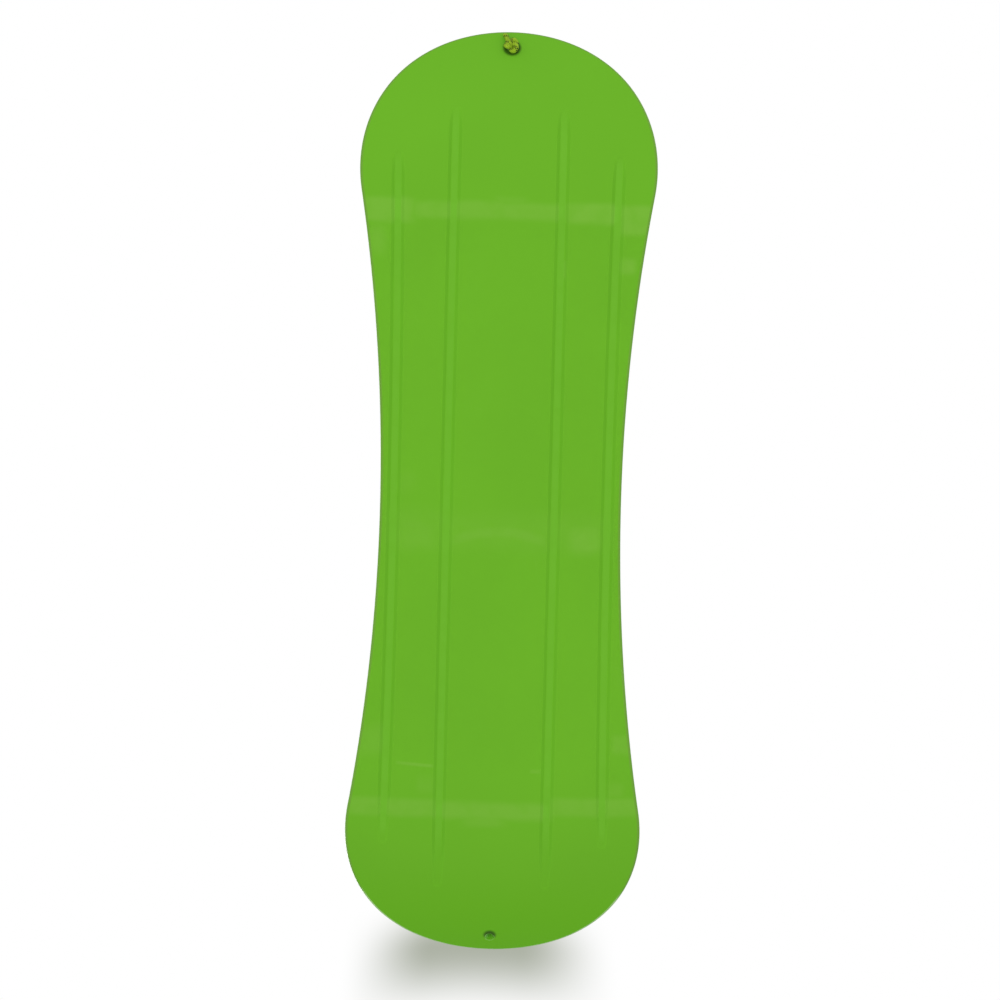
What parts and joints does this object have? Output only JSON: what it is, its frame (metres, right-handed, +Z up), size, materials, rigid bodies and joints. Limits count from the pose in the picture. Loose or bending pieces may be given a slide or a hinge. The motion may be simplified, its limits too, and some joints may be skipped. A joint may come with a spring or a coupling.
{
  "type": "children's plastic snowboard",
  "caption": "Moulded plastic snowboard for a child, with turned-up round tips, grooves in the base, two strap bindings and a tow rope coiled on the deck.",
  "frame": {"origin": "middle of the flat running base, on the surface that the board lies on", "axes": "+X along the board to the nose, +Y across it to the heel edge, +Z up from the base"},
  "size_m": [0.9151, 0.2906, 0.1181],
  "materials": {
    "board_plastic": "semi-gloss moulded polyethylene",
    "binding_plastic": "fine-grained moulded nylon",
    "disc_plastic": "moulded nylon",
    "footbed_foam": "ribbed foam",
    "webbing": "woven webbing",
    "padding": "padded mesh fabric",
    "steel": "zinc plated",
    "brass": "turned",
    "rope": "braided cord"
  },
  "bodies": {
    "board": {"board": "board_plastic", "front_baseplate": "binding_plastic", "front_mounting_disc": "disc_plastic", "front_heel_hoop": "binding_plastic", "front_footbed": "footbed_foam", "front_ankle_tab": "webbing", "front_toe_tab": "webbing", "front_ankle_pin": "steel", "front_toe_pin": "steel", "front_ankle_rivet": "steel", "front_toe_rivet": "steel", "front_insert_1": "brass", "front_insert_2": "brass", "front_insert_3": "brass", "front_insert_4": "brass", "front_disc_screw_1": "steel", "front_disc_screw_2": "steel", "front_disc_screw_3": "steel", "front_disc_screw_4": "steel", "front_hoop_screw_1": "steel", "front_hoop_screw_2": "steel", "front_hoop_screw_3": "steel", "front_hoop_screw_4": "steel", "rear_baseplate": "binding_plastic", "rear_mounting_disc": "disc_plastic", "rear_heel_hoop": "binding_plastic", "rear_footbed": "footbed_foam", "rear_ankle_tab": "webbing", "rear_toe_tab": "webbing", "rear_ankle_pin": "steel", "rear_toe_pin": "steel", "rear_ankle_rivet": "steel", "rear_toe_rivet": "steel", "rear_insert_1": "brass", "rear_insert_2": "brass", "rear_insert_3": "brass", "rear_insert_4": "brass", "rear_disc_screw_1": "steel", "rear_disc_screw_2": "steel", "rear_disc_screw_3": "steel", "rear_disc_screw_4": "steel", "rear_hoop_screw_1": "steel", "rear_hoop_screw_2": "steel", "rear_hoop_screw_3": "steel", "rear_hoop_screw_4": "steel", "rope_knot": "rope", "rope_lead": "rope", "rope_coil": "rope", "rope_end": "rope", "rope_end_knot": "rope", "rope_band": "webbing"},
    "front_ankle_strap": {"front_ankle_strap": "webbing", "front_ankle_pad": "padding"},
    "front_toe_strap": {"front_toe_strap": "webbing"},
    "rear_ankle_strap": {"rear_ankle_strap": "webbing", "rear_ankle_pad": "padding"},
    "rear_toe_strap": {"rear_toe_strap": "webbing"}
  },
  "joints": [
    {"name": "front_ankle_hinge", "type": "hinge", "parent": "board", "child": "front_ankle_strap", "pos_m": [0.0677, 0.036, 0.05], "axis": [0, -0.866, -0.5], "range_deg": [0, 100]},
    {"name": "front_toe_hinge", "type": "hinge", "parent": "board", "child": "front_toe_strap", "pos_m": [0.0677, -0.058, 0.032], "axis": [0, -0.9848, -0.1736], "range_deg": [0, 100]},
    {"name": "rear_ankle_hinge", "type": "hinge", "parent": "board", "child": "rear_ankle_strap", "pos_m": [-0.1377, 0.036, 0.05], "axis": [0, 0.866, 0.5], "range_deg": [0, 100]},
    {"name": "rear_toe_hinge", "type": "hinge", "parent": "board", "child": "rear_toe_strap", "pos_m": [-0.1377, -0.058, 0.032], "axis": [0, 0.9848, 0.1736], "range_deg": [0, 100]}
  ]
}
